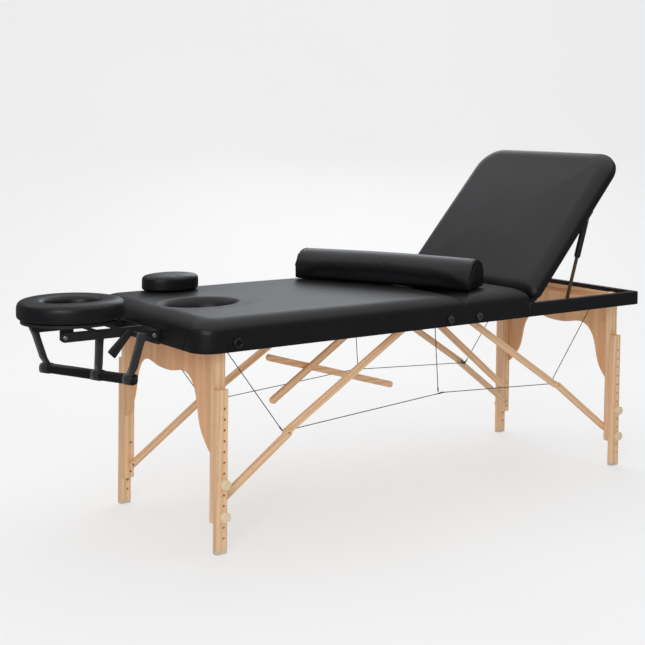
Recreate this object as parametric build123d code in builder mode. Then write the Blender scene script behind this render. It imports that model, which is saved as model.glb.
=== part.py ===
"""Portable massage table: two folding halves, a raised backrest, a face cradle and a bolster."""

import os
from math import atan2, cos, degrees, hypot, radians, sin

from build123d import *

# ---------------------------------------------------------------- driving dimensions, mm
# x runs along the table from the face cradle (-) to the backrest (+), z is up, the floor is z = 0.
HEAD_LENGTH = 1017  # head half, from the fold to its end rail
BACK_LENGTH = 871  # back half
CRADLE_REACH = 403  # face cushion tip beyond the head end
TABLE_WIDTH = 700  # over the vinyl
BAND = 3  # vinyl wrapped round the rails
FOLD = (HEAD_LENGTH + CRADLE_REACH - BACK_LENGTH - BAND) / 2  # x of the fold, so x = 0 is mid-length

RAIL_Z = 605  # underside of the rails
RAIL_HEIGHT = 46
RAIL = 18  # rail thickness
RAIL_TOP = RAIL_Z + RAIL_HEIGHT
DECK = 6
PAD = 48
PAD_TOP = RAIL_TOP + DECK + PAD
HALF_WIDTH = TABLE_WIDTH / 2
RAIL_OUT = HALF_WIDTH - BAND
RAIL_IN = RAIL_OUT - RAIL
FOLD_GAP = 2  # each half stops this far from the fold line
LEAF = 2.5  # hinge leaf thickness
FOLD_AXIS_Z = RAIL_Z - LEAF - 0.3
HINGE_Y = (120, 290)
KNUCKLE = 5
CORNER = {"head": 62, "back": 10}  # plan radius of each half's outer corners
HINGE_HALF = 24  # half width of a fold hinge
HINGE_SIDE = 8  # width of its two outer knuckles
STOP_OFFSET = 64  # round stops on the long sides, either side of the fold
STOP_Z = 626
STOP_RADIUS = 14

# Leg frames. Layers across the width: post, extension outside it, links inside it.
LEG_X = (FOLD - 918, FOLD + 803)  # head and back leg pivots
LEG_PIVOT_Z = 627
LEG = 38  # width of post and extension along x
POST_Y = (270, 289.8)
EXTENSION_Y = (290, 310)
POST_FOOT = 90
EXTENSION_TOP = 487
FOOT_CAP = 11
HOLE_PITCH = 32
HOLE_LOW = 47
HOLES = 13
HOLE_OFFSET = 7  # bolt holes stand this far towards +x of the leg's middle
KNOB_Z = (111, 207)
KNOB_RADIUS = 16
KNOB_Y = (310.3, 326)
BOLT = 4  # bolt radius
BORE = 4.05  # running bore radius for that bolt
LEG_SPACER = 9  # radius of the spacer between post and rail
APRON = (-19, -11)  # apron thickness, outward of the leg's middle
APRON_TOP = 612
# Lower edge of the apron: distance from the middle and height.
APRON_HALF = [
    (0, 500),
    (60, 505),
    (106, 513),
    (148, 503),
    (180, 466),
    (195, 415),
    (210, 365),
    (238, 325),
    (POST_Y[0], 296),
]

# Folding braces, each a lower and an upper link.
BRACE_FOOT_Z = 135
BRACE_FOOT_OFFSET = 10  # towards the fold from the leg's middle
BRACE_TOP_X = (FOLD - 114, FOLD + 45)
BRACE_TOP_Z = 637
LINK = 11  # half width of a link
LOWER_LINK_Y = (257.5, 269.5)
UPPER_LINK_Y = (245.5, 257)
ANCHOR_Y = (258, 288)  # wooden blocks that carry the brace tops
BLOCK_HALF = 18  # half width along x of the blocks that carry braces and stays
BLOCK_DROP = 16  # how far below the bolt they reach
SLACK = 0.5  # the links stop this far short of dead straight

# Stay struts on the centre line.
STAY_TOP_X = (FOLD - 73, FOLD + 62)
STAY_FOOT = ((FOLD - 530, 351), (FOLD + 491, 293))
STAY_Y = ((-6, 6), (-20, -8))
STAY_ANCHOR_Y = ((-40, -7), (-50, -21))
TIE_Y = (7, 19)
TIE_JOINT = 361  # distance down the head stay to the tie's bolt
TIE_TILT = -16  # degrees below level
TIE_ARMS = (165, 370)

# Cables: outer radius and the planes that they run in.
WIRE = 1.4
FERRULE = (0.9, 14, 9)  # extra radius, length, and its middle's distance from the end
WASHER = 3
ELBOW_BOSS = 6
CORNER_WIRE_TOP = (32, 621.5)  # distance from the leg towards the fold, and height
LONG_WIRE_Y = {"head": 239, "back": 234}
CORNER_WIRE_Y = 228
DROPPER_Y = 222
DROPPER_TOP = (FOLD - 24, 622)
JUNCTION = (FOLD - 2, 356)

# Backrest, raised by REST_ANGLE about a hinge on the rail tops.
REST_HINGE = (FOLD + 335, RAIL_TOP)
REST_ANGLE = 48
REST_START = 6
REST_LENGTH = 660
REST_BOARD = 12
REST_PAD = 42
SEAT_END = FOLD + 307
STRUT_FOOT = (FOLD + 515, 632)
STRUT_HEAD = (405, -13)  # from the hinge along and below the flat board
SLEEVE = 150
SLEEVE_Y = (313, 323)
BAR = 212
BAR_HALF = 7
BAR_Y = (316, 320)
BRACKET_Y = (324.6, 328.4)
REST_LIFT = 0.4  # the board's underside clears the rails by this much when it lies flat
REST_CORNER = 100
REST_KNUCKLE = 4
REST_HINGE_Y = (150, 297)
SEAT_DECK_END = FOLD + 328

# Sockets in the long sides for arm rests.
SOCKET_X = LEG_X[0] + 24
SOCKET_Z = 629
SOCKET_TUBE = 11
SOCKET_BORE = 8
SOCKET_FLANGE = 15

# Face cradle.
CRADLE_PIVOT = (FOLD - 1038, 630)
TILT_PIVOT = (FOLD - 1322, 648)
ARM_Y = (96, 104)
CUSHION_X = FOLD - 1255
CUSHION = (165, 150)  # half lengths along x and y
CUSHION_Z = (685, 745)
PLATE_Z = (676, 684.5)
LUG_Y = (86, 95)
FACE_HOLE = (82, 62)
ARM_HALF = 14
CAM_PIVOT = (FOLD - 1126, 642)
CAM_TIP = (FOLD - 1172, 592)
CROSS_ROD = (FOLD - 1192, 646)
ROD = 5
# The arm sling: a padded bar hung skew on three straps, given as top x and z and the strap's y.
SLING_ENDS = ((FOLD - 1140, -183), (FOLD - 1286, 137))
SLING_BAR_Z = 520
SLING_SECTION = (34, 28)
SLING_STRAPS = ((FOLD - 1109, 646, -167), (*CROSS_ROD, -60), (*TILT_PIVOT, 119))
STRAP_HALF = 11

# Loose cushions.
HOLE_X = FOLD - 817
HOLE = (105, 80)
PLUG_PLACE = (FOLD - 772, 262)
PLUG = (102, 74)
PLUG_HEIGHT = 52
BOLSTER_PLACE = (FOLD - 37, 15)
BOLSTER_TURN = 27
BOLSTER_LENGTH = 680
BOLSTER_WIDTH = 160
BOLSTER_HEIGHT = 105

SIDES = (-1, 1)  # near and far long edge
HALVES = {"head": -1, "back": 1}

os.makedirs("parts", exist_ok=True)


def save(part, name):
    """Label a finished piece and write it as parts/NAME.step."""
    part.label = name
    export_step(part, f"parts/{name}.step")


def span(side, pair):
    """The y range of a layer on one side of the table, low value first."""
    return sorted((side * pair[0], side * pair[1]))


def block(x, y, z, mode=Mode.ADD):
    """Add a cuboid between low and high values of x, y and z."""
    with Locations(((x[0] + x[1]) / 2, (y[0] + y[1]) / 2, (z[0] + z[1]) / 2)):
        Box(x[1] - x[0], y[1] - y[0], z[1] - z[0], mode=mode)


def cross_pin(x, z, y, radius, mode=Mode.ADD):
    """Add a cylinder along y, from y[0] to y[1]."""
    with Locations(Location((x, (y[0] + y[1]) / 2, z), (90, 0, 0))):
        Cylinder(radius, y[1] - y[0], mode=mode)


def heading(start, end):
    """Angle in degrees from +x towards +z of the line from start to end."""
    return degrees(atan2(end[1] - start[1], end[0] - start[0]))


def distance(start, end):
    return hypot(end[0] - start[0], end[1] - start[1])


def reach(start, angle, length):
    """The point at a distance and angle from start, in x and z."""
    return (start[0] + length * cos(radians(angle)), start[1] + length * sin(radians(angle)))


def bar(start, end, y, half_width, bores=(), tail=0):
    """A flat bar with round ends centred on start and end, between y[0] and y[1]."""
    length = distance(start, end) + tail
    with BuildPart() as piece:
        with BuildSketch(Plane((0, y[1], 0), x_dir=(1, 0, 0), z_dir=(0, -1, 0))):
            with Locations(Location((start[0], start[1]), heading(start, end))):
                with Locations((length / 2, 0)):
                    SlotCenterToCenter(length, 2 * half_width)
        extrude(amount=y[1] - y[0])
        for x, z in bores:
            cross_pin(x, z, y, BORE, mode=Mode.SUBTRACT)
    return piece.part


def pair(make):
    """One part that holds the near and the far copy of a piece."""
    return Part(children=[make(side) for side in SIDES])


def brace(half):
    """Foot, elbow and top of a brace in x and z, and its two link lengths."""
    index = 0 if half == "head" else 1
    way = HALVES[half]
    foot = (LEG_X[index] - way * BRACE_FOOT_OFFSET, BRACE_FOOT_Z)
    top = (BRACE_TOP_X[index], BRACE_TOP_Z)
    folded = LEG_X[index] - way * (LEG_PIVOT_Z - BRACE_FOOT_Z)
    gap = abs(folded - top[0])
    direct = distance(foot, top)
    lower = (direct + SLACK - gap) / 2
    upper = lower + gap
    along = (lower**2 - upper**2 + direct**2) / (2 * direct)
    above = (lower**2 - along**2) ** 0.5
    tilt = heading(foot, top)
    bend = -way * degrees(atan2(above, along))
    return foot, reach(foot, tilt + bend, lower), top


# ---------------------------------------------------------------- frame halves


def half_ends(half):
    """x range of a half's rails."""
    if half == "head":
        return (FOLD - HEAD_LENGTH, FOLD - FOLD_GAP)
    return (FOLD + FOLD_GAP, FOLD + BACK_LENGTH)


def outline(half, grow):
    """Plan outline of a half, with rounded outer corners, grown outwards by some millimetres."""
    x = half_ends(half)
    ends = (x[0] - grow, x[1]) if half == "head" else (x[0], x[1] + grow)
    radius = max(CORNER[half] + grow, 1)
    with BuildSketch() as plan:
        with Locations(((ends[0] + ends[1]) / 2, 0)):
            Rectangle(ends[1] - ends[0], 2 * (RAIL_OUT + grow))
        fillet(plan.vertices().group_by(Axis.X)[0 if half == "head" else -1], radius)
    return plan.sketch


def rail_parts(half):
    """Side rails and cross members of one half, as two parts."""
    x = half_ends(half)
    top_x = BRACE_TOP_X[0 if half == "head" else 1]
    joint_y = min(RAIL_IN, RAIL_OUT - CORNER[half])
    with BuildPart() as sides:
        with BuildSketch(Plane.XY.offset(RAIL_Z)):
            add(outline(half, 0))
            add(outline(half, -RAIL), mode=Mode.SUBTRACT)
            with Locations(((x[0] + x[1]) / 2, 0)):
                Rectangle(x[1] - x[0] + 1, 2 * joint_y, mode=Mode.SUBTRACT)
        extrude(amount=RAIL_HEIGHT)
        for side in SIDES:
            y = span(side, (RAIL_IN, RAIL_OUT))
            cross_pin(LEG_X[0 if half == "head" else 1], LEG_PIVOT_Z, y, BORE, mode=Mode.SUBTRACT)
            if half == "head":
                cross_pin(SOCKET_X, SOCKET_Z, y, SOCKET_TUBE, mode=Mode.SUBTRACT)
            else:
                cross_pin(*STRUT_FOOT, y, BORE, mode=Mode.SUBTRACT)
    with BuildPart() as cross:
        for end in x:
            inside = end + (RAIL if end == x[0] else -RAIL)
            reach_y = RAIL_IN if abs(end - FOLD) == FOLD_GAP else joint_y
            block(sorted((end, inside)), (-reach_y, reach_y), (RAIL_Z, RAIL_TOP))
        for side in SIDES:
            for y in HINGE_Y:
                recess = span(side, (y - HINGE_HALF - 1, y + HINGE_HALF + 1))
                cross_pin(FOLD, FOLD_AXIS_Z, recess, KNUCKLE + 0.6, mode=Mode.SUBTRACT)
        for side in SIDES:
            y = span(side, ANCHOR_Y)
            block((top_x - BLOCK_HALF, top_x + BLOCK_HALF), y, (BRACE_TOP_Z - BLOCK_DROP, RAIL_TOP))
            cross_pin(top_x, BRACE_TOP_Z, y, BORE, mode=Mode.SUBTRACT)
        stay_x = STAY_TOP_X[0 if half == "head" else 1]
        stay_y = STAY_ANCHOR_Y[0 if half == "head" else 1]
        block((stay_x - BLOCK_HALF, stay_x + BLOCK_HALF), stay_y, (BRACE_TOP_Z - BLOCK_DROP, RAIL_TOP))
        cross_pin(stay_x, BRACE_TOP_Z, stay_y, BORE, mode=Mode.SUBTRACT)
    return sides.part, cross.part


for half in HALVES:
    side_rails, cross_members = rail_parts(half)
    save(side_rails, f"{half}_side_rails")
    save(cross_members, f"{half}_cross_members")

with BuildPart() as sockets:
    for side in SIDES:
        cross_pin(SOCKET_X, SOCKET_Z, span(side, (RAIL_IN, HALF_WIDTH)), SOCKET_TUBE)
        cross_pin(SOCKET_X, SOCKET_Z, span(side, (HALF_WIDTH, HALF_WIDTH + 3)), SOCKET_FLANGE)
    cross_pin(SOCKET_X, SOCKET_Z, (-TABLE_WIDTH, TABLE_WIDTH), SOCKET_BORE, mode=Mode.SUBTRACT)
save(sockets.part, "side_sockets")

with BuildPart() as head_band:
    with BuildSketch(Plane.XY.offset(RAIL_Z)):
        add(outline("head", BAND))
        add(outline("head", 0), mode=Mode.SUBTRACT)
    extrude(amount=RAIL_HEIGHT)
    for side in SIDES:
        cut = span(side, (RAIL_OUT - 1, HALF_WIDTH + 1))
        cross_pin(SOCKET_X, SOCKET_Z, cut, SOCKET_TUBE, mode=Mode.SUBTRACT)
save(head_band.part, "head_vinyl_band")

with BuildPart() as back_band:
    with BuildSketch(Plane.XY.offset(RAIL_Z)):
        add(outline("back", BAND))
        add(outline("back", 0), mode=Mode.SUBTRACT)
    extrude(amount=RAIL_HEIGHT)
save(back_band.part, "back_vinyl_band")

with BuildPart() as head_deck:
    with BuildSketch(Plane.XY.offset(RAIL_TOP)):
        add(outline("head", 0))
        with Locations((HOLE_X, 0)):
            Ellipse(*HOLE, mode=Mode.SUBTRACT)
    extrude(amount=DECK)
save(head_deck.part, "head_deck")

with BuildPart() as head_pad:
    with BuildSketch(Plane.XY.offset(RAIL_TOP + DECK)):
        add(outline("head", BAND))
        with Locations((HOLE_X, 0)):
            Ellipse(*HOLE, mode=Mode.SUBTRACT)
    extrude(amount=PAD)
    fillet(head_pad.faces().sort_by(Axis.Z)[-1].outer_wire().edges(), 20)
save(head_pad.part, "head_pad")

with BuildPart() as seat_deck:
    block((FOLD + FOLD_GAP, SEAT_DECK_END), (-RAIL_OUT, RAIL_OUT), (RAIL_TOP, RAIL_TOP + DECK))
save(seat_deck.part, "seat_deck")

with BuildPart() as seat_pad:
    block((FOLD + FOLD_GAP, SEAT_END), (-HALF_WIDTH, HALF_WIDTH), (RAIL_TOP + DECK, PAD_TOP))
    fillet(seat_pad.faces().sort_by(Axis.Z)[-1].edges(), 20)
save(seat_pad.part, "seat_pad")

# ---------------------------------------------------------------- fold hinges, pins and bolts


def fold_leaves(half):
    """Steel leaves on the fold's cross member, with their knuckles, and the round side stops."""
    way = HALVES[half]
    with BuildPart() as piece:
        for side in SIDES:
            for y in HINGE_Y:
                low, high = span(side, (y - HINGE_HALF, y + HINGE_HALF))
                middle = (low + HINGE_SIDE, high - HINGE_SIDE) if half == "head" else None
                x = sorted((FOLD + way * 1.5, FOLD + way * (FOLD_GAP + RAIL)))
                block(x, (low, high), (RAIL_Z - LEAF, RAIL_Z))
                outer = [(low, low + HINGE_SIDE - 0.3), (high - HINGE_SIDE + 0.3, high)]
                knuckles = [middle] if middle else outer
                for knuckle in knuckles:
                    cross_pin(FOLD, FOLD_AXIS_Z, knuckle, KNUCKLE)
        for side in SIDES:
            for y in HINGE_Y:
                low, high = span(side, (y - HINGE_HALF, y + HINGE_HALF))
                if half == "head":
                    others = [(low, low + HINGE_SIDE), (high - HINGE_SIDE, high)]
                else:
                    others = [(low + HINGE_SIDE - 0.3, high - HINGE_SIDE + 0.3)]
                for other in others:
                    cross_pin(FOLD, FOLD_AXIS_Z, other, KNUCKLE + 0.4, mode=Mode.SUBTRACT)
                cross_pin(FOLD, FOLD_AXIS_Z, (low, high), 2.55, mode=Mode.SUBTRACT)
        stop_x = FOLD + way * STOP_OFFSET
        for side in SIDES:
            dimple = span(side, (HALF_WIDTH + 3, HALF_WIDTH + 5))
            cross_pin(stop_x, STOP_Z, span(side, (HALF_WIDTH, HALF_WIDTH + 4)), STOP_RADIUS)
            cross_pin(stop_x, STOP_Z, dimple, 6, mode=Mode.SUBTRACT)
    return piece.part


for half in HALVES:
    save(fold_leaves(half), f"{half}_fold_hinges")

with BuildPart() as fold_pins:
    for side in SIDES:
        for y in HINGE_Y:
            cross_pin(FOLD, FOLD_AXIS_Z, span(side, (y - HINGE_HALF, y + HINGE_HALF)), 2.5)
save(fold_pins.part, "fold_hinge_pins")


def frame_bolts(half):
    """Leg pivot bolts with their spacers, and the bolts that carry brace tops and stay."""
    index = 0 if half == "head" else 1
    with BuildPart() as piece:
        for side in SIDES:
            cross_pin(LEG_X[index], LEG_PIVOT_Z, span(side, (POST_Y[0] - 1.5, RAIL_OUT)), BOLT)
            cross_pin(LEG_X[index], LEG_PIVOT_Z, span(side, (POST_Y[1] + 0.4, RAIL_IN)), LEG_SPACER)
            cross_pin(BRACE_TOP_X[index], BRACE_TOP_Z, span(side, (UPPER_LINK_Y[0] - 1, 287)), BOLT)
        cross_pin(STAY_TOP_X[index], BRACE_TOP_Z, (STAY_ANCHOR_Y[index][0] + 1, STAY_Y[index][1]), BOLT)
        if half == "back":
            for side in SIDES:
                cross_pin(*STRUT_FOOT, span(side, (BAR_Y[0] - 1, RAIL_OUT)), BOLT)
                cross_pin(*STRUT_FOOT, span(side, (BAR_Y[1] + 0.4, RAIL_IN)), 8)
    return piece.part


for half in HALVES:
    save(frame_bolts(half), f"{half}_frame_bolts")

# ---------------------------------------------------------------- leg frames


def posts(half):
    """The two inner posts of a leg frame, round at the pivot, bored for every bolt."""
    index = 0 if half == "head" else 1
    x = LEG_X[index]
    way = HALVES[half]
    with BuildPart() as piece:
        for side in SIDES:
            y = span(side, POST_Y)
            block((x - LEG / 2, x + LEG / 2), y, (POST_FOOT, LEG_PIVOT_Z))
            cross_pin(x, LEG_PIVOT_Z, y, LEG / 2)
        for side in SIDES:
            y = span(side, POST_Y)
            cross_pin(x, LEG_PIVOT_Z, y, BORE, mode=Mode.SUBTRACT)
            cross_pin(x - way * BRACE_FOOT_OFFSET, BRACE_FOOT_Z, y, BORE, mode=Mode.SUBTRACT)
            for z in KNOB_Z:
                cross_pin(x + HOLE_OFFSET, z, y, BORE, mode=Mode.SUBTRACT)
    return piece.part


def apron(half):
    """The shaped board between the posts, with an arched lower edge and long wings."""
    index = 0 if half == "head" else 1
    x = LEG_X[index] + (APRON[0] if half == "head" else -APRON[1])
    edge = [(-y, z) for y, z in reversed(APRON_HALF)] + APRON_HALF[1:]
    with BuildPart() as piece:
        with BuildSketch(Plane.YZ.offset(x)):
            with BuildLine():
                Spline(*edge)
                Polyline(edge[-1], (POST_Y[0], APRON_TOP), (-POST_Y[0], APRON_TOP), edge[0])
            make_face()
        extrude(amount=APRON[1] - APRON[0])
    return piece.part


def leg_bolts(half):
    """Bolts that hold the extensions and the brace feet to the posts."""
    index = 0 if half == "head" else 1
    x = LEG_X[index]
    foot_x = x - HALVES[half] * BRACE_FOOT_OFFSET
    with BuildPart() as piece:
        for side in SIDES:
            for z in KNOB_Z:
                cross_pin(x + HOLE_OFFSET, z, span(side, (POST_Y[0] + 0.5, 320)), BOLT)
            cross_pin(foot_x, BRACE_FOOT_Z, span(side, (LOWER_LINK_Y[0] + 0.5, POST_Y[1] - 0.5)), BOLT)
    return piece.part


def knobs(half):
    """Eight-sided clamp knobs on the outer face of the extensions."""
    x = LEG_X[0 if half == "head" else 1] + HOLE_OFFSET
    depth = KNOB_Y[1] - KNOB_Y[0]
    with BuildPart() as piece:
        for side in SIDES:
            face = Plane((x, side * KNOB_Y[0], 0), x_dir=(1, 0, 0), z_dir=(0, side, 0))
            with BuildSketch(face):
                with Locations(*[(0, side * -z) for z in KNOB_Z]):
                    RegularPolygon(KNOB_RADIUS, 8)
            extrude(amount=depth)
        fillet(piece.edges().filter_by(Axis.Y), 3)
        for side in SIDES:
            flats = piece.faces().filter_by(Axis.Y).sort_by(Axis.Y)
            outer = flats[:2] if side < 0 else flats[-2:]
            fillet(outer.edges(), 2.5)
        for side in SIDES:
            for z in KNOB_Z:
                cross_pin(x, z, span(side, (KNOB_Y[0] - 1, 320.2)), BORE, mode=Mode.SUBTRACT)
    return piece.part


def extension(half, side):
    """An outer leg with its column of height holes."""
    x = LEG_X[0 if half == "head" else 1]
    y = span(side, EXTENSION_Y)
    with BuildPart() as piece:
        block((x - LEG / 2, x + LEG / 2), y, (FOOT_CAP, EXTENSION_TOP))
        fillet(piece.edges().filter_by(Axis.Z), 2)
        for step in range(HOLES):
            cross_pin(x + HOLE_OFFSET, HOLE_LOW + HOLE_PITCH * step, y, BORE, mode=Mode.SUBTRACT)
    return piece.part


def foot_cap(half, side):
    """The cap on the end of an extension, which stands on the floor."""
    x = LEG_X[0 if half == "head" else 1]
    with BuildPart() as piece:
        block((x - LEG / 2, x + LEG / 2), span(side, EXTENSION_Y), (0, FOOT_CAP))
        fillet(piece.edges().filter_by(Axis.Z), 2)
        chamfer(piece.faces().sort_by(Axis.Z)[0].edges(), 1)
    return piece.part


for half in HALVES:
    save(posts(half), f"{half}_leg_posts")
    save(apron(half), f"{half}_leg_apron")
    save(leg_bolts(half), f"{half}_leg_bolts")
    save(knobs(half), f"{half}_leg_knobs")
    for side, word in zip(SIDES, ("near", "far")):
        save(extension(half, side), f"{half}_{word}_leg_extension")
        save(foot_cap(half, side), f"{half}_{word}_foot_cap")

# ---------------------------------------------------------------- braces
for half in HALVES:
    foot, elbow, top = brace(half)
    save(
        pair(lambda side: bar(foot, elbow, span(side, LOWER_LINK_Y), LINK, (foot, elbow))),
        f"{half}_lower_links",
    )
    save(
        pair(lambda side: bar(top, elbow, span(side, UPPER_LINK_Y), LINK, (top, elbow))),
        f"{half}_upper_links",
    )

# ---------------------------------------------------------------- centre stays and tie
stay_tops = [(x, BRACE_TOP_Z) for x in STAY_TOP_X]
tie_joint = reach(stay_tops[0], heading(stay_tops[0], STAY_FOOT[0]), TIE_JOINT)
tie_left = reach(tie_joint, 180 + TIE_TILT, TIE_ARMS[0])
tie_right = reach(tie_joint, TIE_TILT, TIE_ARMS[1])
save(bar(stay_tops[0], STAY_FOOT[0], STAY_Y[0], LINK, (stay_tops[0], tie_joint)), "head_centre_stay")
save(bar(stay_tops[1], STAY_FOOT[1], STAY_Y[1], LINK, (stay_tops[1],)), "back_centre_stay")

with BuildPart() as centre_tie:
    add(bar(tie_left, tie_right, TIE_Y, LINK))
    cross_pin(*tie_joint, (STAY_Y[0][0], TIE_Y[0]), BOLT)
save(centre_tie.part, "centre_tie")

# ---------------------------------------------------------------- cables


def wire(start, end, y):
    """A straight steel cable between two points in one plane, with a ferrule at each end."""
    length = distance(start, end)
    middle = ((start[0] + end[0]) / 2, y, (start[1] + end[1]) / 2)
    turn = (0, 90 - heading(start, end), 0)
    with BuildPart() as piece:
        with Locations(Location(middle, turn)):
            Cylinder(WIRE, length)
            with Locations((0, 0, -length / 2 + FERRULE[2]), (0, 0, length / 2 - FERRULE[2])):
                Cylinder(WIRE + FERRULE[0], FERRULE[1])
    return piece.part


def wire_pair(start, end, y):
    return pair(lambda side: wire(start, end, side * y))


def pinned_wire(half, side):
    """A long cable whose end fitting is the pin in the upper link at the elbow of its brace."""
    elbow = brace(half)[1]
    y = LONG_WIRE_Y[half]
    with BuildPart() as piece:
        add(wire(elbow, JUNCTION, side * y))
        cross_pin(*elbow, span(side, (y - WASHER, UPPER_LINK_Y[0] - 0.4)), ELBOW_BOSS)
        cross_pin(*elbow, span(side, (y - WASHER, UPPER_LINK_Y[1])), BOLT)
    return piece.part


for half in HALVES:
    elbow = brace(half)[1]
    leg_x = LEG_X[0 if half == "head" else 1]
    corner = (leg_x - HALVES[half] * CORNER_WIRE_TOP[0], CORNER_WIRE_TOP[1])
    save(pair(lambda side: pinned_wire(half, side)), f"{half}_long_cables")
    save(wire_pair(corner, elbow, CORNER_WIRE_Y), f"{half}_corner_cables")
save(wire_pair(DROPPER_TOP, JUNCTION, DROPPER_Y), "centre_droppers")

# ---------------------------------------------------------------- backrest
lift = radians(REST_ANGLE)
rest = Plane(
    origin=(REST_HINGE[0], 0, REST_HINGE[1]),
    x_dir=(cos(lift), 0, sin(lift)),
    z_dir=(-sin(lift), 0, cos(lift)),
)


def rest_block(x, y, z):
    """Add a cuboid given in the backrest's own axes: along it, across it and up from its underside."""
    with Locations(rest.location):
        with Locations(((x[0] + x[1]) / 2, (y[0] + y[1]) / 2, (z[0] + z[1]) / 2)):
            Box(x[1] - x[0], y[1] - y[0], z[1] - z[0])


def rest_point(x, z):
    """A point given in the backrest's own axes, as x and z of the row."""
    return reach(reach(REST_HINGE, REST_ANGLE, x), REST_ANGLE + 90, z)


REST_END = REST_START + REST_LENGTH
with BuildPart() as rest_board:
    with BuildSketch(rest.offset(REST_LIFT)) as board_plan:
        with Locations(((REST_START + REST_END) / 2 - 4, 0)):
            Rectangle(REST_LENGTH - 8, TABLE_WIDTH - 16)
        fillet(board_plan.vertices().group_by(Axis.X)[-1], REST_CORNER)
    extrude(amount=REST_BOARD - REST_LIFT)
save(rest_board.part, "backrest_board")

with BuildPart() as rest_pad:
    with BuildSketch(rest.offset(REST_BOARD)) as rest_plan:
        with Locations(((REST_START + REST_END) / 2, 0)):
            Rectangle(REST_LENGTH, TABLE_WIDTH)
        fillet(rest_plan.vertices().group_by(Axis.X)[-1], REST_CORNER)
    extrude(amount=REST_PAD)
    front = rest_pad.faces().sort_by(Axis(rest.origin, rest.z_dir))[-1]
    fillet(front.edges(), 30)
save(rest_pad.part, "backrest_pad")

with BuildPart() as rest_hardware:
    for side in SIDES:
        for y in REST_HINGE_Y:
            low, high = span(side, (y - 20, y + 20))
            for ends in ((low, low + 9.8), (high - 9.8, high)):
                cross_pin(*REST_HINGE, ends, REST_KNUCKLE)
            rest_block((1, 40), (low, high), (REST_LIFT - LEAF, REST_LIFT))
            cross_pin(*REST_HINGE, (low + 9.8, high - 9.8), REST_KNUCKLE + 0.5, mode=Mode.SUBTRACT)
            cross_pin(*REST_HINGE, (low, high), 2.05, mode=Mode.SUBTRACT)
        y = span(side, BRACKET_Y)
        rest_block((STRUT_HEAD[0] - 24, STRUT_HEAD[0] + 24), y, (STRUT_HEAD[1] - 9, REST_LIFT))
        cross_pin(*rest_point(*STRUT_HEAD), span(side, (SLEEVE_Y[1] + 0.4, BRACKET_Y[0] + 1)), BOLT)
save(rest_hardware.part, "backrest_hardware")

with BuildPart() as seat_hinges:
    for side in SIDES:
        for y in REST_HINGE_Y:
            low, high = span(side, (y - 20, y + 20))
            middle = (low + 10, high - 10)
            cross_pin(*REST_HINGE, middle, REST_KNUCKLE)
            block((SEAT_DECK_END - 28, REST_HINGE[0] - 1), middle, (RAIL_TOP - LEAF, RAIL_TOP))
            cross_pin(*REST_HINGE, (low, high), 2)
save(seat_hinges.part, "seat_hinges")

# ---------------------------------------------------------------- backrest struts
strut_head = rest_point(*STRUT_HEAD)
strut_angle = heading(STRUT_FOOT, strut_head)


def strut_bar(side):
    """The inner bar, which pivots on the rail and runs up into the sleeve."""
    return bar(STRUT_FOOT, reach(STRUT_FOOT, strut_angle, BAR), span(side, BAR_Y), BAR_HALF, (STRUT_FOOT,))


def strut_sleeve(side):
    """The outer sleeve, slotted for the bar, with a clamp collar at its mouth."""
    mouth = reach(strut_head, strut_angle, -SLEEVE)
    slot_y = (BAR_Y[0] - 0.3, BAR_Y[1] + 0.3)
    slot_start = reach(mouth, strut_angle, -30)
    slot_end = reach(strut_head, strut_angle, -12)
    with BuildPart() as piece:
        add(bar(mouth, strut_head, span(side, SLEEVE_Y), LINK))
        add(bar(slot_start, slot_end, span(side, slot_y), BAR_HALF + 0.3), mode=Mode.SUBTRACT)
    return piece.part


save(pair(strut_bar), "strut_bars")
save(pair(strut_sleeve), "strut_sleeves")

# ---------------------------------------------------------------- face cradle
with BuildPart() as bracket:
    outer = FOLD - HEAD_LENGTH - BAND
    block((outer - 7, outer), (-113, 113), (602, 646))
    for side in SIDES:
        y = span(side, (ARM_Y[1] + 0.5, 113))
        block((CRADLE_PIVOT[0] - 12, outer - 6), y, (614, 646))
        cross_pin(*CRADLE_PIVOT, span(side, (ARM_Y[0] + 0.5, 112)), BOLT)
save(bracket.part, "cradle_bracket")


def cradle_arm(side):
    """One flat arm of the cradle, from the bracket to the tilt pivot."""
    y = span(side, ARM_Y)
    heel = (CRADLE_PIVOT[0] - 40, TILT_PIVOT[1])
    with BuildPart() as piece:
        add(bar(heel, TILT_PIVOT, y, ARM_HALF))
        add(bar(CRADLE_PIVOT, heel, y, 9))
        for x, z in (CRADLE_PIVOT, TILT_PIVOT, CAM_PIVOT):
            cross_pin(x, z, y, BORE, mode=Mode.SUBTRACT)
    return piece.part


with BuildPart() as arms:
    for side in SIDES:
        add(cradle_arm(side))
    cross_pin(*CROSS_ROD, (-ARM_Y[0] - 1, ARM_Y[0] + 1), ROD)
    stub_x, stub_z, stub_y = SLING_STRAPS[0]
    cross_pin(stub_x, stub_z, (stub_y - 4, -ARM_Y[1] + 1), BOLT)
save(arms.part, "cradle_arms")

with BuildPart() as platform:
    with BuildSketch(Plane.XY.offset(PLATE_Z[0])):
        with Locations((CUSHION_X, 0)):
            Ellipse(CUSHION[0] - 15, CUSHION[1] - 15)
            Ellipse(*FACE_HOLE, mode=Mode.SUBTRACT)
    extrude(amount=PLATE_Z[1] - PLATE_Z[0])
    for side in SIDES:
        lug_x = (TILT_PIVOT[0] - 10, TILT_PIVOT[0] + 30)
        block(lug_x, span(side, LUG_Y), (TILT_PIVOT[1] - 8, PLATE_Z[0]))
        pin_end = ARM_Y[1] if side < 0 else SLING_STRAPS[2][2] + 4
        cross_pin(*TILT_PIVOT, span(side, (LUG_Y[0], pin_end)), BOLT)
save(platform.part, "cradle_platform")

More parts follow.
